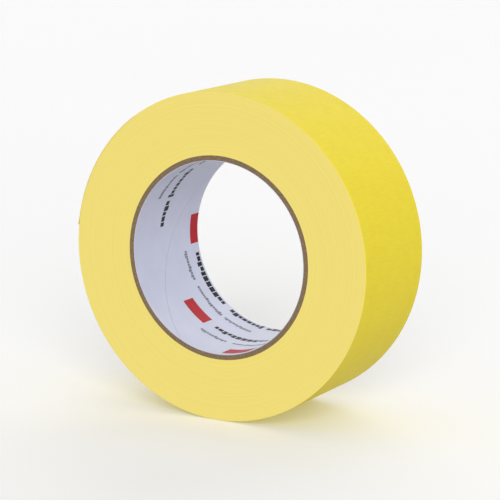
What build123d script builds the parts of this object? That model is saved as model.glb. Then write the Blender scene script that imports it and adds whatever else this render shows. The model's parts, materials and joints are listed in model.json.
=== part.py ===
from build123d import *
import math
import os

# Masking tape roll: one long crepe paper web, wound on a spirally wound paperboard core.
# The roll stands on its tread. Origin: centre of the core's bore, halfway across the width.
# +Y runs along the bore from the front face to the back face, +Z is up.
# Angles round the roll are counted from +X towards +Z, so they grow anticlockwise seen from the front.

# Driving sizes, in millimetres and degrees
ROLL_WIDTH = 48.0  # slit width of the tape, and the length that the core is cut to
CORE_BORE_DIAMETER = 76.2  # three-inch core
LINER_THICKNESS = 0.15  # printed white paper that lines the bore
BOARD_PLY_THICKNESS = 0.49  # one strip of core board
BOARD_PLY_COUNT = 4
PLY_LEAD_ANGLE = 33.0  # between a ply's edge and the rim of the core
PLY_SEAM_GAP = 0.3  # between the two edges of a strip, where they butt
LINER_SEAM_START = 245.0  # angle at which the liner's seam meets the front face
PLY_SEAM_STEP = 80.0  # turn from one ply's seam to the next one's
TAPE_THICKNESS = 0.148  # crepe paper, saturant and adhesive together
TAPE_LENGTH = 55000.0
TAIL_ROOT_ANGLE = 125.0  # where the free end leaves the wound pack
TAIL_SEGMENT_LENGTH = 5.0  # along the tape, from one bending line to the next
TAIL_SEGMENT_COUNT = 11
TAIL_CLEARANCE = 0.03  # between the free end's adhesive and the turn under it
TAIL_SPLIT = 0.04  # between neighbouring segments of the free end

# The core's wall, from the bore outwards
bore_radius = CORE_BORE_DIAMETER / 2
board_start_radius = bore_radius + LINER_THICKNESS
core_radius = board_start_radius + BOARD_PLY_COUNT * BOARD_PLY_THICKNESS

# The web has the same side area wound up as laid out flat, which gives the roll's radius.
roll_radius = math.sqrt(core_radius**2 + TAPE_LENGTH * TAPE_THICKNESS / math.pi)

# The outermost turn gains one thickness in a full turn, so the pack ends in a step at the tail's root.
# It is drawn as four quarter arcs, tangent to each other, whose centres step round a small square.
QUARTERS = 4
QUARTER_TURN = 90.0
growth_per_quarter = TAPE_THICKNESS / QUARTERS
under_tail_radius = roll_radius - TAPE_THICKNESS


def direction(angle):
    """Unit vector in the plane of the front face: local x is the roll's X, local y its Z."""
    return Vector(math.cos(math.radians(angle)), math.sin(math.radians(angle)))


spiral_angles = [TAIL_ROOT_ANGLE + i * QUARTER_TURN for i in range(QUARTERS)]
first_centre = (direction(spiral_angles[1]) + direction(spiral_angles[2])) * (growth_per_quarter / 2)


def across_the_width(face):
    """A face drawn in the plane of the front face, made a solid over the roll's whole width."""
    return extrude(Plane.XZ * face, amount=ROLL_WIDTH / 2, both=True)


def seam_blade(inner, outer, start_angle):
    """The helical sliver between the two butting edges of a ply, a little larger than the ply."""
    margin = 1.0
    lead = math.radians(PLY_LEAD_ANGLE)
    length = ROLL_WIDTH + 2 * margin
    twist = math.degrees(length / math.tan(lead) / inner)
    overrun = twist * margin / length
    before = Plane.XZ.offset(ROLL_WIDTH / 2 + margin)
    sliver = Rectangle(outer - inner + 2 * margin, PLY_SEAM_GAP / math.sin(lead))
    section = before * Rot(0, 0, start_angle + overrun) * Pos((inner + outer) / 2, 0) * sliver
    return Solid.extrude_linear_with_rotation(
        section.face(), before.origin, Vector(0, length, 0), twist
    )


def ply(inner, outer, seam_angle):
    """One paper strip of the core: a tube with a helical butt seam."""
    tube = across_the_width(Circle(outer) - Circle(inner))
    return tube - seam_blade(inner, outer, seam_angle)


def tape_pack():
    """The wound tape, up to the root of the free end."""
    edges = []
    centre = first_centre
    radius = under_tail_radius
    for angle in spiral_angles:
        edges.append(CenterArc(centre, radius, angle, QUARTER_TURN))
        centre -= direction(angle + QUARTER_TURN) * growth_per_quarter
        radius += growth_per_quarter
    edges.append(Line(edges[-1] @ 1, edges[0] @ 0))
    return across_the_width(make_face(edges) - Circle(core_radius))


def tail_segment(index):
    """One stretch of the free end, lying on the turn under it."""
    inner = under_tail_radius + TAIL_CLEARANCE
    outer = inner + TAPE_THICKNESS
    pitch = math.degrees(TAIL_SEGMENT_LENGTH / outer)
    split = math.degrees(TAIL_SPLIT / outer)
    start = TAIL_ROOT_ANGLE + index * pitch + split / 2
    inner_arc = CenterArc(first_centre, inner, start, pitch - split)
    outer_arc = CenterArc(first_centre, outer, start, pitch - split)
    ends = [Line(inner_arc @ 0, outer_arc @ 0), Line(inner_arc @ 1, outer_arc @ 1)]
    return across_the_width(make_face([inner_arc, outer_arc] + ends))


nodes = {"core_liner": ply(bore_radius, board_start_radius, LINER_SEAM_START)}
for i in range(BOARD_PLY_COUNT):
    inner = board_start_radius + i * BOARD_PLY_THICKNESS
    seam_angle = LINER_SEAM_START + (i + 1) * PLY_SEAM_STEP
    nodes[f"core_ply_{i + 1}"] = ply(inner, inner + BOARD_PLY_THICKNESS, seam_angle)
nodes["tape_pack"] = tape_pack()
for i in range(TAIL_SEGMENT_COUNT):
    nodes[f"tape_tail_{i + 1}"] = tail_segment(i)

os.makedirs("parts", exist_ok=True)
for name, shape in nodes.items():
    export_step(shape, f"parts/{name}.step")

# The bending lines of the free end, which are its joints' axes
hinge_radius = under_tail_radius + TAIL_CLEARANCE + TAPE_THICKNESS
for i in range(TAIL_SEGMENT_COUNT):
    angle = TAIL_ROOT_ANGLE + math.degrees(i * TAIL_SEGMENT_LENGTH / hinge_radius)
    line = first_centre + direction(angle) * hinge_radius
    print(f"bending line {i + 1}: x {line.X:.4f} z {line.Y:.4f} at {angle:.3f} degrees")
print(f"core radius {core_radius:.3f}, roll radius {roll_radius:.3f}")
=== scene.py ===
"""Masking tape roll: the looks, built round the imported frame.

The roll stands on its tread, with its bore along Y. Every length here is in metres. Angles round the roll
are counted from +X towards +Z. The web is wound that way too, so the free end points towards larger angles.
"""

import json
import logging
import math
from abc import ABC, abstractmethod
from dataclasses import dataclass, field
from enum import Enum
from functools import cache

import bmesh
import bpy
import numpy as np
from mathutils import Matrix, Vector


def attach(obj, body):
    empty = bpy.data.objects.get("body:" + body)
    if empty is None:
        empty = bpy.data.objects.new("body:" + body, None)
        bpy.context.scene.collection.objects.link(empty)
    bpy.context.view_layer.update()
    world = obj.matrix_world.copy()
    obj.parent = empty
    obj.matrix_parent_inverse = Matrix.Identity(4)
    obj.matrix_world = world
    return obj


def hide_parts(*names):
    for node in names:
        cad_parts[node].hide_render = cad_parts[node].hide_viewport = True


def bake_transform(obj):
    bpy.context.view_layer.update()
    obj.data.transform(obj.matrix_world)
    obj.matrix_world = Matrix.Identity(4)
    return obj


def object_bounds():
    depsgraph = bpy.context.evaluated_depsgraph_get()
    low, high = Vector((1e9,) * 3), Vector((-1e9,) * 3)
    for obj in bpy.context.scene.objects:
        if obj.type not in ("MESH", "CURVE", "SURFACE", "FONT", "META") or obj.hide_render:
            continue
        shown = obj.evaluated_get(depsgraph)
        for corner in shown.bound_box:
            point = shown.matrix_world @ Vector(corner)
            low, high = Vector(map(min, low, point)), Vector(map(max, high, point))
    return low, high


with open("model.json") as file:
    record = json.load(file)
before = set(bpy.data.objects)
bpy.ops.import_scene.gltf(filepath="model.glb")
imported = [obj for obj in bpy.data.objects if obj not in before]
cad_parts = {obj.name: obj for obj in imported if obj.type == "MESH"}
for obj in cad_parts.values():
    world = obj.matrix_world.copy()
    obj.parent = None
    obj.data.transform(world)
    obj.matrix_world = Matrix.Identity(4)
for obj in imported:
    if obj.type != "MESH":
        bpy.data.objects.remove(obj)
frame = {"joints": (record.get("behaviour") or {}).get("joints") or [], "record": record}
cad_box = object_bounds()

MM = 0.001
TURN = 2 * math.pi

log = logging.getLogger("masking_tape_roll")

Socket = bpy.types.NodeSocket
Colour = tuple[float, float, float, float]
Pair = tuple[float, float]


# Small helpers


def linear(hex_colour: str) -> Colour:
    """Turns an sRGB colour into the linear one that a shader takes.

    Args:
        hex_colour: the colour as "#RRGGBB".

    Returns:
        Linear red, green and blue, and an alpha of 1.
    """
    shares = [int(hex_colour[i : i + 2], 16) / 255 for i in (1, 3, 5)]
    parts = [s / 12.92 if s <= 0.04045 else ((s + 0.055) / 1.055) ** 2.4 for s in shares]
    return (*parts, 1.0)


def add_node(
    tree: bpy.types.NodeTree, kind: str, settings: dict | None = None, inputs: dict | None = None
) -> bpy.types.Node:
    """Adds a node with its settings and links.

    Args:
        tree: the node tree it goes in.
        kind: Blender's name for the kind of node.
        settings: the node's own properties, by name.
        inputs: input sockets by name or number, each with a value or with the output that feeds it.

    Returns:
        The new node.
    """
    node = tree.nodes.new(kind)
    for name, value in (settings or {}).items():
        setattr(node, name, value)
    for name, value in (inputs or {}).items():
        if isinstance(value, Socket):
            tree.links.new(value, node.inputs[name])
        else:
            node.inputs[name].default_value = value
    return node


def point(radius: float, angle: float, y: float) -> tuple[float, float, float]:
    """A point of the row frame from its distance to the bore's axis, its angle and its place along Y."""
    return (radius * math.cos(angle), y, radius * math.sin(angle))


def eased(share: np.ndarray) -> np.ndarray:
    """Shares from 0 to 1, made to start and end gently."""
    return share * share * (3 - 2 * share)


def smooth_noise(places: np.ndarray, spacing: float, seed: int) -> np.ndarray:
    """Random heights that change smoothly, from -1 to 1.

    Args:
        places: where the heights are wanted.
        spacing: distance between one random height and the next.
        seed: makes the heights the same each run.

    Returns:
        One height for each place.
    """
    steps = np.asarray(places, float) / spacing
    low = np.floor(steps.min()) - 1
    heights = np.random.RandomState(seed).uniform(-1, 1, int(steps.max() - low) + 3)
    index = np.floor(steps - low).astype(int)
    share = eased(steps - low - index)
    return heights[index] * (1 - share) + heights[index + 1] * share


def arc_points(centre: Pair, reach: Pair, start: float, end: float, steps: int) -> np.ndarray:
    """Points along an arc in the plane of radius and Y.

    Args:
        centre: its centre, as (radius, y).
        reach: how far it reaches along the radius and along Y.
        start: angle of its first point, in radians.
        end: angle of its last point, in radians.
        steps: how many parts it is divided in.

    Returns:
        Rows of (radius, y).
    """
    angles = np.linspace(start, end, steps + 1)
    return np.stack([centre[0] + reach[0] * np.cos(angles), centre[1] + reach[1] * np.sin(angles)], 1)


# Meshes


@dataclass
class Skin:
    """A mesh that is being put together: its points, its faces and what each of them carries."""

    points: list[np.ndarray] = field(default_factory=list)
    faces: list[tuple[int, ...]] = field(default_factory=list)
    slots: list[int] = field(default_factory=list)
    web: list[np.ndarray] = field(default_factory=list)
    outside: list[np.ndarray] = field(default_factory=list)
    sharp_angle: float = math.radians(35.0)  # edges that turn by more than this are shaded as sharp

    def count(self) -> int:
        """How many points there are so far."""
        return sum(len(p) for p in self.points)

    def add_points(
        self, places: np.ndarray, web: np.ndarray | None = None, outside: np.ndarray | None = None
    ) -> None:
        """Adds points.

        Args:
            places: rows of x, y, z.
            web: for each, how far along the web, across it and into it the point is.
            outside: for each, 1 on the web's creped back and 0 on its cut edge.
        """
        self.points.append(np.asarray(places, float).reshape(-1, 3))
        self.web.append(np.zeros((len(places), 3)) if web is None else web)
        self.outside.append(np.zeros(len(places)) if outside is None else outside)

    def add_face(self, corners: tuple[int, ...], slot: int = 0) -> None:
        """Adds one face with its material slot."""
        self.faces.append(corners)
        self.slots.append(slot)

    def add_grid(
        self, first: int, rows: int, columns: int, loop_rows: bool = False, slots: np.ndarray | None = None
    ) -> None:
        """Joins rows of points into four-sided faces. Each row is a closed section, joined end to start.

        Args:
            first: number of the first point.
            rows: how many rows there are.
            columns: how many points each row has.
            loop_rows: whether the last row is joined to the first.
            slots: the material slot of each strip between two columns.
        """
        for i in range(rows if loop_rows else rows - 1):
            for j in range(columns):
                a, b = i * columns, (i + 1) % rows * columns
                k = (j + 1) % columns
                corners = (first + a + j, first + a + k, first + b + k, first + b + j)
                self.add_face(corners, 0 if slots is None else int(slots[j]))

    def add_ladder(self, ring: list[int]) -> None:
        """Fills a long thin outline with four-sided faces.

        Args:
            ring: numbers of its points, up one side and then back down the other.
        """
        last = len(ring) - 1
        for i in range(len(ring) // 2 - 1):
            self.add_face((ring[i], ring[i + 1], ring[last - i - 1], ring[last - i]))

    def build(self, name: str, *finishes: "Finish") -> bpy.types.Object:
        """Makes the Blender object.

        Args:
            name: the piece's name.
            finishes: what its material slots are made of, in order.

        Returns:
            The object, linked to the scene.
        """
        mesh = bpy.data.meshes.new(name)
        mesh.from_pydata(np.concatenate(self.points).tolist(), [], self.faces)
        for finish in finishes:
            mesh.materials.append(finish.material())
        mesh.polygons.foreach_set("material_index", self.slots)
        web = mesh.attributes.new("web", "FLOAT_VECTOR", "POINT")
        web.data.foreach_set("vector", np.concatenate(self.web).astype(np.float32).ravel())
        outside = mesh.attributes.new("outside", "FLOAT", "POINT")
        outside.data.foreach_set("value", np.concatenate(self.outside).astype(np.float32))
        work = bmesh.new()
        work.from_mesh(mesh)
        bmesh.ops.recalc_face_normals(work, faces=work.faces)
        work.to_mesh(mesh)
        work.free()
        mesh.shade_smooth()
        mesh.set_sharp_from_angle(angle=self.sharp_angle)
        piece = bpy.data.objects.new(name, mesh)
        bpy.context.scene.collection.objects.link(piece)
        return piece


# Finishes


class Finish(ABC):
    """A surface as it is on the real roll. Each kind paints its own nodes.

    Its name isn't a slot's, because the frame's plain materials already have those names.
    """

    name: str

    @abstractmethod
    def paint(self, tree: bpy.types.NodeTree) -> bpy.types.Node:
        """Paints the nodes.

        Args:
            tree: the material's own node tree, still empty.

        Returns:
            The shader.
        """

    @cache
    def material(self) -> bpy.types.Material:
        """The finish as a Blender material, made once."""
        made = bpy.data.materials.new(self.name)
        made.use_nodes = True
        made.node_tree.nodes.clear()
        shader = self.paint(made.node_tree)
        add_node(made.node_tree, "ShaderNodeOutputMaterial", inputs={"Surface": shader.outputs["BSDF"]})
        return made


def distance_from_axis(tree: bpy.types.NodeTree) -> Socket:
    """Works out how far the shaded point is from the bore's axis.

    Args:
        tree: the node tree that it is worked out in.

    Returns:
        The output that gives the distance, in metres.
    """
    place = add_node(tree, "ShaderNodeTexCoord").outputs["Object"]
    flat = add_node(
        tree, "ShaderNodeVectorMath", {"operation": "MULTIPLY"}, {0: place, 1: (1.0, 0.0, 1.0)}
    )
    length = add_node(tree, "ShaderNodeVectorMath", {"operation": "LENGTH"}, {0: flat.outputs[0]})
    return length.outputs["Value"]


@dataclass(frozen=True)
class CrepeTape(Finish):
    """Crepe paper, dyed in the mass, with a release coat on its back.

    The coated back is deep yellow with a low, wide gloss, and fine creping runs across the web, its valleys
    darkened with painted shade. The slit
    edges of the wound turns are raw paper: paler, matte, and finely ringed.
    """

    name: str = "dyed_crepe_paper"
    back: str = "#EED930"
    back_shade: str = "#EBD52C"
    edge: str = "#ECDA79"
    edge_shade: str = "#E8D470"
    back_roughness: float = 0.55
    edge_roughness: float = 0.85
    gloss: float = 0.17
    # The creping is about 0.5 mm from ridge to ridge. It is drawn a little coarser so that it shows.
    crepe_spacing: float = 0.7 * MM
    crepe_length: float = 6.0 * MM
    crepe_depth: float = 0.1 * MM
    # The crepe's valleys are darkened to this share of the colour: painted shade in the creases.
    painted_valley_shade: float = 0.955
    # Turns are 0.148 mm apart, too fine to show, so the rings are drawn four times as coarse.
    ring_spacing: float = 0.6 * MM
    ring_depth: float = 0.03 * MM
    mottle_size: float = 7.0 * MM  # of the faint patches that the dye leaves
    ior: float = 1.5

    def paint(self, tree: bpy.types.NodeTree) -> bpy.types.Node:
        """Paints the nodes.

        Args:
            tree: the material's own node tree, still empty.

        Returns:
            The shader.
        """
        web = add_node(tree, "ShaderNodeAttribute", {"attribute_name": "web"}).outputs["Vector"]
        outside = add_node(tree, "ShaderNodeAttribute", {"attribute_name": "outside"}).outputs["Fac"]
        place = add_node(tree, "ShaderNodeTexCoord").outputs["Object"]
        crepe_scale = (1 / self.crepe_spacing, 1 / self.crepe_length, 0.0)
        stretched = add_node(
            tree, "ShaderNodeVectorMath", {"operation": "MULTIPLY"}, {0: web, 1: crepe_scale}
        )
        crepe = add_node(
            tree,
            "ShaderNodeTexNoise",
            inputs={
                "Vector": stretched.outputs[0],
                "Scale": 1.0,
                "Detail": 3.0,
                "Roughness": 0.55,
                "Distortion": 0.3,
            },
        ).outputs["Fac"]
        ring_place = add_node(
            tree,
            "ShaderNodeMath",
            {"operation": "MULTIPLY"},
            {0: distance_from_axis(tree), 1: 1 / self.ring_spacing},
        )
        rings = add_node(
            tree,
            "ShaderNodeTexNoise",
            {"noise_dimensions": "1D"},
            {"W": ring_place.outputs[0], "Scale": 1.0, "Detail": 4.0, "Roughness": 0.6},
        ).outputs["Fac"]
        mottle = add_node(
            tree,
            "ShaderNodeTexNoise",
            inputs={"Vector": place, "Scale": 1 / self.mottle_size, "Detail": 3.0, "Roughness": 0.6},
        ).outputs["Fac"]
        back_share = add_node(
            tree,
            "ShaderNodeMapRange",
            inputs={"Value": mottle, "From Min": 0.3, "From Max": 0.75},
        ).outputs["Result"]
        back = add_node(
            tree,
            "ShaderNodeMix",
            {"data_type": "RGBA"},
            {"Factor": back_share, "A": linear(self.back), "B": linear(self.back_shade)},
        ).outputs["Result"]
        # Painted shade: the back's colour is darkened in the crepe's valleys, where shade would fall.
        valley_darkening = add_node(
            tree,
            "ShaderNodeMapRange",
            inputs={
                "Value": crepe,
                "From Min": 0.3,
                "From Max": 0.6,
                "To Min": self.painted_valley_shade,
                "To Max": 1.0,
            },
        ).outputs["Result"]
        back = add_node(
            tree, "ShaderNodeVectorMath", {"operation": "SCALE"}, {0: back, "Scale": valley_darkening}
        ).outputs["Vector"]
        ring_share = add_node(
            tree,
            "ShaderNodeMapRange",
            inputs={"Value": rings, "From Min": 0.3, "From Max": 0.8},
        ).outputs["Result"]
        edge = add_node(
            tree,
            "ShaderNodeMix",
            {"data_type": "RGBA"},
            {"Factor": ring_share, "A": linear(self.edge), "B": linear(self.edge_shade)},
        ).outputs["Result"]
        colour = add_node(
            tree, "ShaderNodeMix", {"data_type": "RGBA"}, {"Factor": outside, "A": edge, "B": back}
        ).outputs["Result"]
        roughness = add_node(
            tree,
            "ShaderNodeMapRange",
            inputs={"Value": outside, "To Min": self.edge_roughness, "To Max": self.back_roughness},
        ).outputs["Result"]
        relief = add_node(
            tree, "ShaderNodeMix", {"data_type": "FLOAT"}, {"Factor": outside, "A": rings, "B": crepe}
        ).outputs["Result"]
        depth = add_node(
            tree,
            "ShaderNodeMapRange",
            inputs={"Value": outside, "To Min": self.ring_depth, "To Max": self.crepe_depth},
        ).outputs["Result"]
        bump = add_node(
            tree, "ShaderNodeBump", inputs={"Height": relief, "Strength": 1.0, "Distance": depth}
        ).outputs["Normal"]
        return add_node(
            tree,
            "ShaderNodeBsdfPrincipled",
            inputs={
                "Base Color": colour,
                "Roughness": roughness,
                "Normal": bump,
                "IOR": self.ior,
                "Specular IOR Level": self.gloss,
            },
        )


@dataclass(frozen=True)
class RubberAdhesive(Finish):
    """Crepe-side natural rubber adhesive: a smooth, slightly glossy, amber coat over the yellow paper."""

    name: str = "rubber_adhesive"
    colour: str = "#E4CB4E"
    shade: str = "#DBBF42"
    roughness: float = 0.38
    ior: float = 1.5
    streak_spacing: float = 1.2 * MM
    streak_length: float = 14.0 * MM

    def paint(self, tree: bpy.types.NodeTree) -> bpy.types.Node:
        """Paints the nodes.

        Args:
            tree: the material's own node tree, still empty.

        Returns:
            The shader.
        """
        web = add_node(tree, "ShaderNodeAttribute", {"attribute_name": "web"}).outputs["Vector"]
        scale = (1 / self.streak_length, 1 / self.streak_spacing, 0.0)
        stretched = add_node(
            tree, "ShaderNodeVectorMath", {"operation": "MULTIPLY"}, {0: web, 1: scale}
        )
        streaks = add_node(
            tree,
            "ShaderNodeTexNoise",
            inputs={"Vector": stretched.outputs[0], "Scale": 1.0, "Detail": 2.0},
        ).outputs["Fac"]
        colour = add_node(
            tree,
            "ShaderNodeMix",
            {"data_type": "RGBA"},
            {"Factor": streaks, "A": linear(self.colour), "B": linear(self.shade)},
        ).outputs["Result"]
        bump = add_node(
            tree, "ShaderNodeBump", inputs={"Height": streaks, "Strength": 0.3, "Distance": 0.01 * MM}
        ).outputs["Normal"]
        return add_node(
            tree,
            "ShaderNodeBsdfPrincipled",
            inputs={"Base Color": colour, "Roughness": self.roughness, "Normal": bump, "IOR": self.ior},
        )


@dataclass(frozen=True)
class CoatedPaper(Finish):
    """Machine-coated white paper: cool white, smooth, with a soft gloss and a faint cloudiness."""

    name: str = "coated_liner_paper"
    colour: str = "#CFD2E3"
    shade: str = "#C1C4D6"
    roughness: float = 0.42
    ior: float = 1.5
    cloud_size: float = 9.0 * MM
    fibre_size: float = 0.25 * MM

    def paint(self, tree: bpy.types.NodeTree) -> bpy.types.Node:
        """Paints the nodes.

        Args:
            tree: the material's own node tree, still empty.

        Returns:
            The shader.
        """
        place = add_node(tree, "ShaderNodeTexCoord").outputs["Object"]
        clouds = add_node(
            tree,
            "ShaderNodeTexNoise",
            inputs={"Vector": place, "Scale": 1 / self.cloud_size, "Detail": 4.0},
        ).outputs["Fac"]
        fibres = add_node(
            tree,
            "ShaderNodeTexNoise",
            inputs={"Vector": place, "Scale": 1 / self.fibre_size, "Detail": 2.0},
        ).outputs["Fac"]
        colour = add_node(
            tree,
            "ShaderNodeMix",
            {"data_type": "RGBA"},
            {"Factor": clouds, "A": linear(self.colour), "B": linear(self.shade)},
        ).outputs["Result"]
        bump = add_node(
            tree, "ShaderNodeBump", inputs={"Height": fibres, "Strength": 0.25, "Distance": 0.01 * MM}
        ).outputs["Normal"]
        return add_node(
            tree,
            "ShaderNodeBsdfPrincipled",
            inputs={"Base Color": colour, "Roughness": self.roughness, "Normal": bump, "IOR": self.ior},
        )


@dataclass(frozen=True)
class CoreBoard(Finish):
    """Recycled core board: brown-grey pulp with short fibres, fully matte, darker where it was cut."""

    name: str = "recycled_core_board"
    colour: str = "#8E785C"
    shade: str = "#6C573E"
    roughness: float = 0.9
    fibre_width: float = 0.12 * MM
    fibre_length: float = 0.9 * MM

    def paint(self, tree: bpy.types.NodeTree) -> bpy.types.Node:
        """Paints the nodes.

        Args:
            tree: the material's own node tree, still empty.

        Returns:
            The shader.
        """
        place = add_node(tree, "ShaderNodeTexCoord").outputs["Object"]
        stretched = add_node(
            tree,
            "ShaderNodeVectorMath",
            {"operation": "MULTIPLY"},
            {0: place, 1: (1 / self.fibre_length, 1 / self.fibre_width, 1 / self.fibre_length)},
        )
        fibres = add_node(
            tree,
            "ShaderNodeTexNoise",
            inputs={"Vector": stretched.outputs[0], "Scale": 1.0, "Detail": 3.0, "Roughness": 0.65},
        ).outputs["Fac"]
        share = add_node(
            tree,
            "ShaderNodeMapRange",
            inputs={"Value": fibres, "From Min": 0.3, "From Max": 0.7},
        ).outputs["Result"]
        colour = add_node(
            tree,
            "ShaderNodeMix",
            {"data_type": "RGBA"},
            {"Factor": share, "A": linear(self.colour), "B": linear(self.shade)},
        ).outputs["Result"]
        bump = add_node(
            tree, "ShaderNodeBump", inputs={"Height": fibres, "Strength": 0.6, "Distance": 0.05 * MM}
        ).outputs["Normal"]
        return add_node(
            tree,
            "ShaderNodeBsdfPrincipled",
            inputs={"Base Color": colour, "Roughness": self.roughness, "Normal": bump},
        )


@dataclass(frozen=True)
class PrintingInk(Finish):
    """Flexographic ink on coated paper: a thin film, a little uneven in strength, and soft in gloss."""

    name: str
    colour: str
    shade: str
    roughness: float = 0.55
    gloss: float = 0.25
    speckle: float = 0.5 * MM

    def paint(self, tree: bpy.types.NodeTree) -> bpy.types.Node:
        """Paints the nodes.

        Args:
            tree: the material's own node tree, still empty.

        Returns:
            The shader.
        """
        place = add_node(tree, "ShaderNodeTexCoord").outputs["Object"]
        patches = add_node(
            tree,
            "ShaderNodeTexNoise",
            inputs={"Vector": place, "Scale": 1 / self.speckle, "Detail": 3.0},
        ).outputs["Fac"]
        colour = add_node(
            tree,
            "ShaderNodeMix",
            {"data_type": "RGBA"},
            {"Factor": patches, "A": linear(self.colour), "B": linear(self.shade)},
        ).outputs["Result"]
        return add_node(
            tree,
            "ShaderNodeBsdfPrincipled",
            inputs={"Base Color": colour, "Roughness": self.roughness, "Specular IOR Level": self.gloss},
        )


@dataclass(frozen=True)
class LitAcrylic(Finish):
    """Opal acrylic, lit a little from below: a matte white table that keeps shadows soft."""

    name: str = "lit_opal_acrylic"
    colour: str = "#FBFBFB"
    shade: str = "#F8F8F8"
    roughness: float = 0.95
    light: float = 0.07

    def paint(self, tree: bpy.types.NodeTree) -> bpy.types.Node:
        """Paints the nodes.

        Args:
            tree: the material's own node tree, still empty.

        Returns:
            The shader.
        """
        place = add_node(tree, "ShaderNodeTexCoord").outputs["Object"]
        clouds = add_node(tree, "ShaderNodeTexNoise", inputs={"Vector": place, "Scale": 2.0})
        colour = add_node(
            tree,
            "ShaderNodeMix",
            {"data_type": "RGBA"},
            {"Factor": clouds.outputs["Fac"], "A": linear(self.colour), "B": linear(self.shade)},
        ).outputs["Result"]
        return add_node(
            tree,
            "ShaderNodeBsdfPrincipled",
            inputs={
                "Base Color": colour,
                "Roughness": self.roughness,
                "Emission Color": linear(self.colour),
                "Emission Strength": self.light,
            },
        )


class Ink(Enum):
    """The three inks on the core's liner."""

    BLACK = PrintingInk("black_ink", "#0E1016", "#1C1F2A")
    RED = PrintingInk("red_ink", "#C20A20", "#A80A1C")
    GREY = PrintingInk("grey_ink", "#6E707B", "#80828D")


# The roll's own sizes, read from the frame


@dataclass(frozen=True)
class RollSizes:
    """What the sub-assemblies share: sizes from the record, and thicknesses of the plies and the web."""

    bore_radius: float
    width: float
    hinges: tuple[Vector, ...]  # a point on each bending line of the free end, from its root
    # The thicknesses are the CAD's. The record doesn't hold them.
    liner: float = 0.15 * MM
    board: float = 0.49 * MM
    board_plies: int = 4
    tape: float = 0.148 * MM
    tail_clearance: float = 0.03 * MM

    @classmethod
    def from_frame(cls) -> "RollSizes":
        """Reads the bore, the width and the free end's bending lines from the frame.

        Returns:
            The roll's sizes.
        """
        mounts = {m["name"]: m for m in frame["record"]["mounts"]}
        bore = mounts["core_bore"]["dims"]
        hinges = tuple(Vector(j["pos_m"]) for j in frame["joints"])
        return cls(bore_radius=bore["r_mm"] * MM, width=bore["length_mm"] * MM, hinges=hinges)

    @property
    def front(self) -> float:
        """Y of the front face."""
        return -self.width / 2

    @property
    def board_start(self) -> float:
        """Inner radius of the first board ply."""
        return self.bore_radius + self.liner

    @property
    def core_radius(self) -> float:
        """Outer radius of the core."""
        return self.board_start + self.board_plies * self.board

    @property
    def root_angle(self) -> float:
        """Angle at which the free end leaves the wound tape."""
        return math.atan2(self.hinges[0].z, self.hinges[0].x)

    @property
    def under_tail(self) -> float:
        """Radius of the turn that the free end lies on, at its root."""
        return self.hinges[0].length - self.tail_clearance - self.tape

    @property
    def segment_angle(self) -> float:
        """Angle between two neighbouring bending lines of the free end."""
        return self.hinges[0].angle(self.hinges[1])

    def growth(self, angle: float) -> float:
        """How much the winding has gained in radius at an angle past the free end's root."""
        return self.tape * angle / TURN


# Sub-assemblies


def settle(piece: bpy.types.Object, body: str, slot: str, *nodes: str) -> None:
    """Sets a piece on its body and hides the CAD nodes that it stands for.

    Args:
        piece: the finished piece.
        body: the CAD body that it moves with.
        slot: the record's material slot, not used.
        nodes: the CAD nodes that it replaces.
    """
    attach(piece, body)
    if nodes:
        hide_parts(*nodes)
    log.info("%s: %d faces, on %s", piece.name, len(piece.data.polygons), body)


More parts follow.
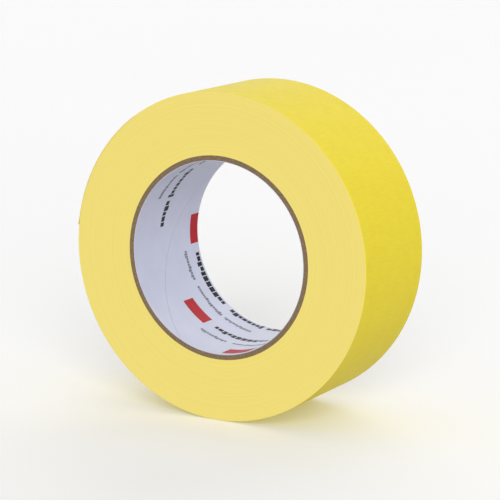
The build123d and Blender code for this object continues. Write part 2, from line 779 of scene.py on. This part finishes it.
@dataclass
class PaperCore:
    """The spirally wound core: a paper liner and board plies, each a strip with a helical butt seam."""

    sizes: RollSizes
    lead_angle: float = math.radians(33.0)
    liner_seam: float = math.radians(245.0)
    seam_step: float = math.radians(80.0)
    seam_gap: float = 0.15 * MM  # butted closer than in the CAD, so that a seam shows as a fine line
    board_corner: float = 0.09 * MM
    liner_corner: float = 0.03 * MM
    steps_round: int = 240
    steps_across: int = 60
    corner_steps: int = 2

    def seam_angle(self, start: float, radius: float, y: np.ndarray | float) -> np.ndarray | float:
        """Where a ply's seam is.

        Args:
            start: its angle at the front face.
            radius: the ply's inner radius.
            y: place along the core.

        Returns:
            The seam's angle there.
        """
        return start - (y - self.sizes.front) / math.tan(self.lead_angle) / radius

    def outline(self, inner: float, outer: float, corner: float) -> np.ndarray:
        """A ply's section in the plane of radius and Y.

        Args:
            inner: inner radius.
            outer: outer radius.
            corner: rounding of its four corners.

        Returns:
            Rows of (radius, y): along the inner side, then back along the outer side.
        """
        front, back = self.sizes.front, -self.sizes.front
        across = np.linspace(front + corner, back - corner, self.steps_across + 1)[1:-1]
        reach = (corner, corner)
        front_corner = (inner + corner, front + corner)
        back_corner = (inner + corner, back - corner)
        half = [
            arc_points(front_corner, reach, -math.pi / 2, -math.pi, self.corner_steps),
            np.stack([np.full(len(across), inner), across], 1),
            arc_points(back_corner, reach, math.pi, math.pi / 2, self.corner_steps),
        ]
        inside = np.concatenate(half)
        outside = inside[::-1].copy()
        outside[:, 0] = inner + outer - outside[:, 0]
        return np.concatenate([inside, outside])

    def wind(
        self, name: str, inner: float, outer: float, seam: float, corner: float, finish: Finish
    ) -> bpy.types.Object:
        """Winds one strip into a tube.

        Args:
            name: the piece's name.
            inner: inner radius.
            outer: outer radius.
            seam: angle of its seam at the front face.
            corner: rounding of the strip's long edges.
            finish: what it is made of.

        Returns:
            The piece.
        """
        outline = self.outline(inner, outer, corner)
        radius, y = outline[:, 0], outline[:, 1]
        gap = self.seam_gap / math.sin(self.lead_angle) / inner
        starts = self.seam_angle(seam, inner, y) + gap / 2
        skin = Skin()
        for share in np.linspace(0, 1, self.steps_round + 1):
            angle = starts + share * (TURN - gap)
            skin.add_points(np.stack([radius * np.cos(angle), y, radius * np.sin(angle)], 1))
        columns = len(outline)
        skin.add_grid(0, self.steps_round + 1, columns)
        skin.add_ladder(list(range(columns)))
        skin.add_ladder(list(range(self.steps_round * columns, (self.steps_round + 1) * columns)))
        return skin.build(name, finish)

    def build(self) -> None:
        """Builds the liner and the board plies, dressed, and sets them on the roll's body."""
        s = self.sizes
        liner = self.wind(
            "printed_liner", s.bore_radius, s.board_start, self.liner_seam, self.liner_corner, CoatedPaper()
        )
        settle(liner, "roll", "liner_paper", "core_liner")
        for i in range(s.board_plies):
            inner = s.board_start + i * s.board
            seam = self.liner_seam + (i + 1) * self.seam_step
            name = f"board_ply_{i + 1}"
            ply = self.wind(name, inner, inner + s.board, seam, self.board_corner, CoreBoard())
            settle(ply, "roll", "core_board", f"core_ply_{i + 1}")


@dataclass(frozen=True)
class Mark:
    """One printed rectangle on the liner: where it starts and ends along the print and across it."""

    start: float
    end: float
    low: float
    high: float


@dataclass(frozen=True)
class BarLine:
    """One line of plain bars in place of letters, set out from the centre of the red block."""

    words: tuple[Pair, ...]  # where each word starts and ends
    foot: float
    pitch: float  # usual width of a letter with its gap
    height: float  # of a small letter
    width_shares: Pair = (0.55, 1.0)  # a bar's least and greatest width, in pitches
    gap_share: float = 0.16
    least_rest: float = 0.4  # of a pitch: a shorter rest of a word stays empty
    tall_chance: float = 0.35
    tall_share: float = 1.4  # a tall bar's height, in heights
    drop_chance: float = 0.12
    drop_share: float = 0.35  # how far a dropped bar goes below the foot, in heights

    def marks(self, rng: np.random.RandomState) -> list[Mark]:
        """Draws the bars of all the words.

        Args:
            rng: draws the widths and the tall and dropped letters.

        Returns:
            One mark for each bar.
        """
        marks = []
        for start, end in self.words:
            place = start
            while place < end - self.least_rest * self.pitch:
                width = min(self.pitch * rng.uniform(*self.width_shares), end - place)
                rise = self.tall_share if rng.uniform() < self.tall_chance else 1.0
                drop = self.drop_share if rng.uniform() < self.drop_chance else 0.0
                top, foot = self.foot - rise * self.height, self.foot + drop * self.height
                marks.append(Mark(place, place + width, top, foot))
                place += width + self.gap_share * self.pitch
        return marks


@dataclass
class LinerPrint:
    """The liner's repeating print: a red block, bars in place of words, and fine grey bars above them.

    The print is set out on the unrolled liner. Along it, places are counted from the top of the bore.
    """

    sizes: RollSizes
    core: PaperCore
    repeat: Pair = (33.7 * MM, -19.8 * MM)  # from one unit to the next, round the liner and across it
    lanes: tuple[Pair, ...] = ((92.7 * MM, 1.7 * MM), (225.3 * MM, -4.3 * MM))  # a block's centre in each
    repeats: int = 5  # on either side of that block
    film: float = 0.012 * MM  # how far the ink stands off the paper, drawn thicker than real ink
    block: Pair = (12.4 * MM, 7.0 * MM)
    title: BarLine = BarLine(
        words=((10.3 * MM, 36.2 * MM), (38.7 * MM, 55.1 * MM), (57.0 * MM, 68.5 * MM)),
        foot=1.4 * MM,
        pitch=2.3 * MM,
        height=2.4 * MM,
    )
    fine_line: BarLine = BarLine(
        words=((8.3 * MM, 21.2 * MM), (23.7 * MM, 39.6 * MM), (41.2 * MM, 54.6 * MM)),
        foot=-7.4 * MM,
        pitch=1.15 * MM,
        height=1.5 * MM,
    )
    margin: float = 0.15 * MM
    least_share: float = 0.75  # a mark with less than this left between the rims is dropped
    longest_step: float = 1.5 * MM
    seed: int = 7

    def unit(self) -> dict[Ink, list[Mark]]:
        """Draws one repeat of the print.

        Returns:
            The marks of each ink, about the centre of the red block.
        """
        rng = np.random.RandomState(self.seed)
        half_length, half_height = self.block[0] / 2, self.block[1] / 2
        return {
            Ink.RED: [Mark(-half_length, half_length, -half_height, half_height)],
            Ink.BLACK: self.title.marks(rng),
            Ink.GREY: self.fine_line.marks(rng),
        }

    def clipped(self, mark: Mark, at: Pair) -> Mark | None:
        """Moves a mark to its place on the liner and cuts it off at the rims.

        Args:
            mark: the mark, about the centre of its red block.
            at: where that centre is on the liner.

        Returns:
            The mark, or None where the rims or the seam take it away.
        """
        limit = self.sizes.width / 2 - self.margin
        low, high = max(mark.low + at[1], -limit), min(mark.high + at[1], limit)
        start, end = mark.start + at[0], mark.end + at[0]
        if high - low < self.least_share * (mark.high - mark.low):
            return None
        radius = self.sizes.bore_radius
        angles = [self.core.seam_angle(self.core.liner_seam, radius, y) for y in (low, high)]
        seams = [(angle - TURN / 4) * radius for angle in angles]
        if start < max(seams) + self.margin or end > min(seams) + TURN * radius - self.margin:
            return None
        return Mark(start, end, low, high)

    def lay(self, skin: Skin, mark: Mark) -> None:
        """Lays one mark on the bore as a thin closed film.

        Args:
            skin: the mesh that it is added to.
            mark: the mark in its place on the liner.
        """
        steps = max(1, math.ceil((mark.end - mark.start) / self.longest_step))
        radius = self.sizes.bore_radius
        section = [
            (radius - self.film, mark.low),
            (radius - self.film, mark.high),
            (radius + self.film, mark.high),
            (radius + self.film, mark.low),
        ]
        first = skin.count()
        for along in np.linspace(mark.start, mark.end, steps + 1):
            angle = along / radius + TURN / 4
            skin.add_points(np.array([point(r, angle, y) for r, y in section]))
        skin.add_grid(first, steps + 1, len(section))
        for ring in (first, first + steps * len(section)):
            skin.add_face(tuple(range(ring, ring + len(section))))

    def build(self) -> None:
        """Builds one piece for each ink and sets it on the roll's body."""
        for ink, marks in self.unit().items():
            skin = Skin()
            for lane in self.lanes:
                for k in range(-self.repeats, self.repeats + 1):
                    at = (lane[0] + k * self.repeat[0], lane[1] + k * self.repeat[1])
                    placed = [self.clipped(m, at) for m in marks]
                    for mark in filter(None, placed):
                        self.lay(skin, mark)
            piece = skin.build(f"liner_print_{ink.name.lower()}", ink.value)
            settle(piece, "roll", "liner_paper")


@dataclass
class WoundTape:
    """The wound web: ringed slit faces, rounded rims, and a tread with a step at the free end's root."""

    sizes: RollSizes
    rim: Pair = (0.16 * MM, 0.4 * MM)  # how far its rounding reaches along the radius and along Y
    rim_steps: int = 5
    face_step: float = 0.45 * MM
    face_seeds: tuple[int, int] = (11, 23)  # of the front and back faces' rings
    ring_relief: float = 0.02 * MM
    ring_width: float = 0.8 * MM
    ring_depth: float = 1.5  # of the rings' mean, in reliefs, which keeps them all inside the face
    flat_at_core: float = 1.0 * MM  # the rings fade out over this width at the core
    tread_wave: float = 0.02 * MM
    tread_wave_length: float = 6.0 * MM
    tread_seed: int = 5
    steps_across: int = 20
    steps_round: int = 480
    step_width: float = 0.02 * MM

    def face_outline(self, seed: int, y: float, inward: float) -> np.ndarray:
        """Points up one slit face, from the core to the rim, with the rings' relief.

        Args:
            seed: makes this face's rings its own.
            y: the face's plane.
            inward: the direction into the roll along Y, 1 or -1.

        Returns:
            Rows of (radius, y).
        """
        s = self.sizes
        top = s.under_tail - self.rim[0]
        count = round((top - s.core_radius) / self.face_step)
        radius = np.linspace(s.core_radius, top, count + 1)[:-1]
        relief = smooth_noise(radius, self.ring_width, seed)
        relief += 0.5 * smooth_noise(radius, self.ring_width / 2, seed + 1)
        sunk = self.ring_relief * (self.ring_depth + relief)
        sunk *= np.clip((radius - s.core_radius) / self.flat_at_core, 0, 1)
        return np.stack([radius, y + inward * sunk], 1)

    def outline(self) -> tuple[np.ndarray, np.ndarray, np.ndarray]:
        """The roll's section: up the front face, across the tread, down the back face.

        Returns:
            Rows of (radius, y), their shares of the winding's growth, and 1 on the tread or 0 on a face.
        """
        s = self.sizes
        front, back = s.front, -s.front
        outer = s.under_tail
        front_face = self.face_outline(self.face_seeds[0], front, 1.0)
        back_face = self.face_outline(self.face_seeds[1], back, -1.0)[::-1]
        deep, wide = self.rim
        front_rim = arc_points((outer - deep, front + wide), self.rim, -math.pi / 2, 0.0, self.rim_steps)
        back_rim = arc_points((outer - deep, back - wide), self.rim, 0.0, math.pi / 2, self.rim_steps)
        across = np.linspace(front + wide, back - wide, self.steps_across + 1)[1:-1]
        wave = smooth_noise(across, self.tread_wave_length, self.tread_seed) * self.tread_wave
        tread = np.stack([outer - np.abs(wave), across], 1)
        section = np.concatenate([front_face, front_rim, tread, back_rim, back_face])
        growth = np.clip((section[:, 0] - s.core_radius) / (outer - deep - s.core_radius), 0, 1)
        rim_share = eased(np.linspace(0, 1, self.rim_steps + 1))
        raw_front, raw_back = np.zeros(len(front_face)), np.zeros(len(back_face))
        outside = np.concatenate([raw_front, rim_share, np.ones(len(tread)), rim_share[::-1], raw_back])
        return section, growth, outside

    def build(self) -> None:
        """Builds the wound tape and sets it on the roll's body."""
        s = self.sizes
        section, growth, outside = self.outline()
        turn = TURN - self.step_width / s.under_tail
        skin = Skin()
        for past_root in np.linspace(0, turn, self.steps_round + 1):
            radius = section[:, 0] + growth * s.growth(past_root)
            angle = s.root_angle + past_root
            places = np.stack([radius * math.cos(angle), section[:, 1], radius * math.sin(angle)], 1)
            web = np.stack([np.full(len(section), past_root * s.under_tail), section[:, 1], radius], 1)
            skin.add_points(places, web, outside)
        skin.add_grid(0, self.steps_round + 1, len(section), loop_rows=True)
        piece = skin.build("wound_tape", CrepeTape())
        settle(piece, "roll", "crepe_tape", "tape_pack")


@dataclass
class FreeEnd:
    """The last stretch of the web, which peels off the turn under it, adhesive side inwards."""

    sizes: RollSizes
    lift: float = 0.006 * MM  # keeps it clear of the turn under it
    step: float = 0.25 * MM
    steps_across: int = 12
    rim: float = 0.05 * MM
    end_wobble: float = 0.12 * MM  # how far the torn end strays from a straight line
    wobble_length: float = 3.0 * MM
    wobble_seed: int = 41
    peel_bend: float = 1.4 * MM  # length of the bend where it leaves the roll
    soft_bend_share: float = 0.5  # reach of the other bends either way, in stretches
    end_lift: float = 0.3 * MM
    end_lift_length: float = 4.0 * MM

    def outline(self) -> tuple[np.ndarray, np.ndarray, np.ndarray]:
        """The web's section: its adhesive side from front to back, then its creped side back.

        Returns:
            Rows of (height over the turn below, y), 1 on the creped side, and each strip's material slot.
        """
        front, back = self.sizes.front, -self.sizes.front
        across = np.linspace(front + self.rim, back - self.rim, self.steps_across + 1)
        inner = [(0.0, y) for y in across]
        edge_height = self.sizes.tape / 2
        outer = [(self.sizes.tape, y) for y in across[::-1]]
        section = np.array([(edge_height, front), *inner, (edge_height, back), *outer])
        outside = np.zeros(len(section))
        outside[2 + len(inner) :] = 1.0
        slots = np.zeros(len(section), int)
        slots[1 : len(inner)] = 1
        return section, outside, slots

    def strip(self, name: str, start: float, end: float, cut: bool) -> bpy.types.Object:
        """Makes one stretch of the web.

        Args:
            name: the piece's name.
            start: its first angle past the root.
            end: its last angle past the root.
            cut: whether it ends in the web's own cut end.

        Returns:
            The piece, not yet on a body.
        """
        s = self.sizes
        section, outside, slots = self.outline()
        height, y = section[:, 0], section[:, 1]
        count = max(2, round((end - start) * s.under_tail / self.step))
        skin = Skin()
        wobble = smooth_noise(y, self.wobble_length, self.wobble_seed) * self.end_wobble / s.under_tail
        for share in np.linspace(0, 1, count + 1):
            past_root = start + share * (end - start) + (share * wobble if cut else 0.0)
            radius = s.under_tail + s.growth(past_root) + self.lift + self.end_rise(past_root) + height
            angle = s.root_angle + past_root
            places = np.stack([radius * np.cos(angle), y, radius * np.sin(angle)], 1)
            along = past_root * s.under_tail * np.ones(len(y))
            skin.add_points(places, np.stack([along, y, radius], 1), outside)
        columns = len(section)
        skin.add_grid(0, count + 1, columns, slots=slots)
        for ring in (0, count * columns):
            inner = list(range(ring + 1, ring + 2 + self.steps_across))
            outer = list(range(ring + 3 + self.steps_across, ring + columns))
            skin.add_ladder(inner + outer)
            skin.add_face((ring, ring + 1, ring + columns - 1))
            skin.add_face((inner[-1], inner[-1] + 1, outer[0]))
        return skin.build(name, CrepeTape(), RubberAdhesive())

    def end_rise(self, past_root: np.ndarray | float) -> np.ndarray | float:
        """How far the web has let go of the roll near its cut end, at an angle past the root."""
        to_end = (len(self.sizes.hinges) * self.sizes.segment_angle - past_root) * self.sizes.under_tail
        return self.end_lift * np.clip(1 - to_end / self.end_lift_length, 0, 1) ** 2

    def build(self) -> None:
        """Builds the stretches of the web, each with one bending line in it, and the one with the cut end.

        The web bends sharply where it leaves the roll and softly at the other lines.
        """
        pitch = self.sizes.segment_angle
        count = len(self.sizes.hinges)
        sharp = self.peel_bend / self.sizes.under_tail
        stops = [0.0, sharp] + [(i + 0.5) * pitch for i in range(1, count)] + [count * pitch]
        for i, (start, end) in enumerate(zip(stops, stops[1:])):
            piece = self.strip(f"free_end_{i + 1}", start, end, i == count)
            if i < count:
                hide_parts(f"tape_tail_{i + 1}")
                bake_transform(piece)
            else:
                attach(piece, f"tail_{count}")
            log.info("%s: %d faces", piece.name, len(piece.data.polygons))


# Studio


@dataclass
class Studio:
    """A pale floor, soft light and the camera.

    The key light stands in front of the roll, to the right. The back light keeps the far side clear. The
    floor sends no light back to the roll, because its bounce would flatten the shade on the lower tread.
    """

    floor_z: float
    centre: Vector = Vector((0.0, 0.0, 0.0))
    floor_radius: float = 30.0
    azimuth: float = math.radians(30.185)
    elevation: float = math.radians(11.359)
    distance: float = 0.8757
    lens_mm: float = 159.25
    aim_right: float = 0.79 * MM
    aim_up: float = -0.86 * MM
    key_direction: tuple[float, float, float] = (0.49, -0.77, 0.38)
    key_strength: float = 1.76
    key_softness: float = math.radians(40.0)
    back_direction: tuple[float, float, float] = (-0.17, 0.87, 0.45)
    back_strength: float = 1.0
    back_softness: float = math.radians(60.0)
    sky_colour: str = "#FFFFFF"
    sky_strength: float = 0.55
    glow_strength: float = 0.97
    glow_band: Pair = (0.08, 0.2)  # heights of a direction between which the horizon's glow fades out

    def floor(self) -> None:
        """Lays the floor, a large disc just under the roll."""
        mesh = bpy.data.meshes.new("floor")
        work = bmesh.new()
        bmesh.ops.create_circle(work, cap_ends=True, radius=self.floor_radius, segments=96)
        work.to_mesh(mesh)
        work.free()
        mesh.materials.append(LitAcrylic().material())
        floor = bpy.data.objects.new("floor", mesh)
        floor.location = (0.0, 0.0, self.floor_z)
        floor.visible_diffuse = False
        bpy.context.scene.collection.objects.link(floor)

    def sky(self) -> None:
        """Sets soft light from all round, brightest at the horizon."""
        world = bpy.data.worlds.new("studio")
        world.use_nodes = True
        tree = world.node_tree
        tree.nodes.clear()
        direction = add_node(tree, "ShaderNodeTexCoord").outputs["Generated"]
        height = add_node(tree, "ShaderNodeSeparateXYZ", inputs={0: direction}).outputs["Z"]
        slope = add_node(tree, "ShaderNodeMath", {"operation": "ABSOLUTE"}, {0: height}).outputs[0]
        low, high = self.glow_band
        glow = add_node(
            tree,
            "ShaderNodeMapRange",
            {"interpolation_type": "SMOOTHSTEP"},
            {
                "Value": slope,
                "From Min": low,
                "From Max": high,
                "To Min": self.glow_strength,
                "To Max": self.sky_strength,
            },
        ).outputs["Result"]
        light = add_node(
            tree, "ShaderNodeBackground", inputs={"Color": linear(self.sky_colour), "Strength": glow}
        )
        add_node(tree, "ShaderNodeOutputWorld", inputs={"Surface": light.outputs[0]})
        bpy.context.scene.world = world

    def lamp(
        self, name: str, direction: tuple[float, float, float], strength: float, softness: float
    ) -> None:
        """Sets one far-off soft light.

        Args:
            name: the light's name.
            direction: where it stands, seen from the roll.
            strength: its strength.
            softness: how wide it looks from the roll, in radians.
        """
        light = bpy.data.lights.new(name, "SUN")
        light.energy = strength
        light.angle = softness
        lamp = bpy.data.objects.new(name, light)
        lamp.rotation_euler = Vector(direction).to_track_quat("Z", "Y").to_euler()
        bpy.context.scene.collection.objects.link(lamp)

    def camera(self) -> None:
        """Sets the camera."""
        a, e = self.azimuth, self.elevation
        back = Vector((math.sin(a) * math.cos(e), -math.cos(a) * math.cos(e), math.sin(e)))
        right = Vector((math.cos(a), math.sin(a), 0.0))
        up = back.cross(right)
        lens = bpy.data.cameras.new("camera")
        lens.lens = self.lens_mm
        lens.clip_start, lens.clip_end = 0.05, 100.0
        camera = bpy.data.objects.new("camera", lens)
        camera.location = self.centre + back * self.distance
        aim = self.centre + right * self.aim_right + up * self.aim_up
        camera.rotation_euler = (aim - camera.location).to_track_quat("-Z", "Y").to_euler()
        bpy.context.scene.collection.objects.link(camera)
        bpy.context.scene.camera = camera

    def build(self) -> None:
        """Sets up the whole studio."""
        self.camera()
        self.floor()
        self.sky()
        self.lamp("key", self.key_direction, self.key_strength, self.key_softness)
        self.lamp("back", self.back_direction, self.back_strength, self.back_softness)
        bpy.context.scene.view_settings.view_transform = "Standard"


def main() -> None:
    """Builds the studio and the roll."""
    logging.basicConfig(level=logging.INFO, format="%(message)s")
    sizes = RollSizes.from_frame()
    Studio(floor_z=cad_box[0].z).build()
    core = PaperCore(sizes)
    core.build()
    LinerPrint(sizes, core).build()
    WoundTape(sizes).build()
    FreeEnd(sizes).build()


if __name__ == "__main__":
    main()
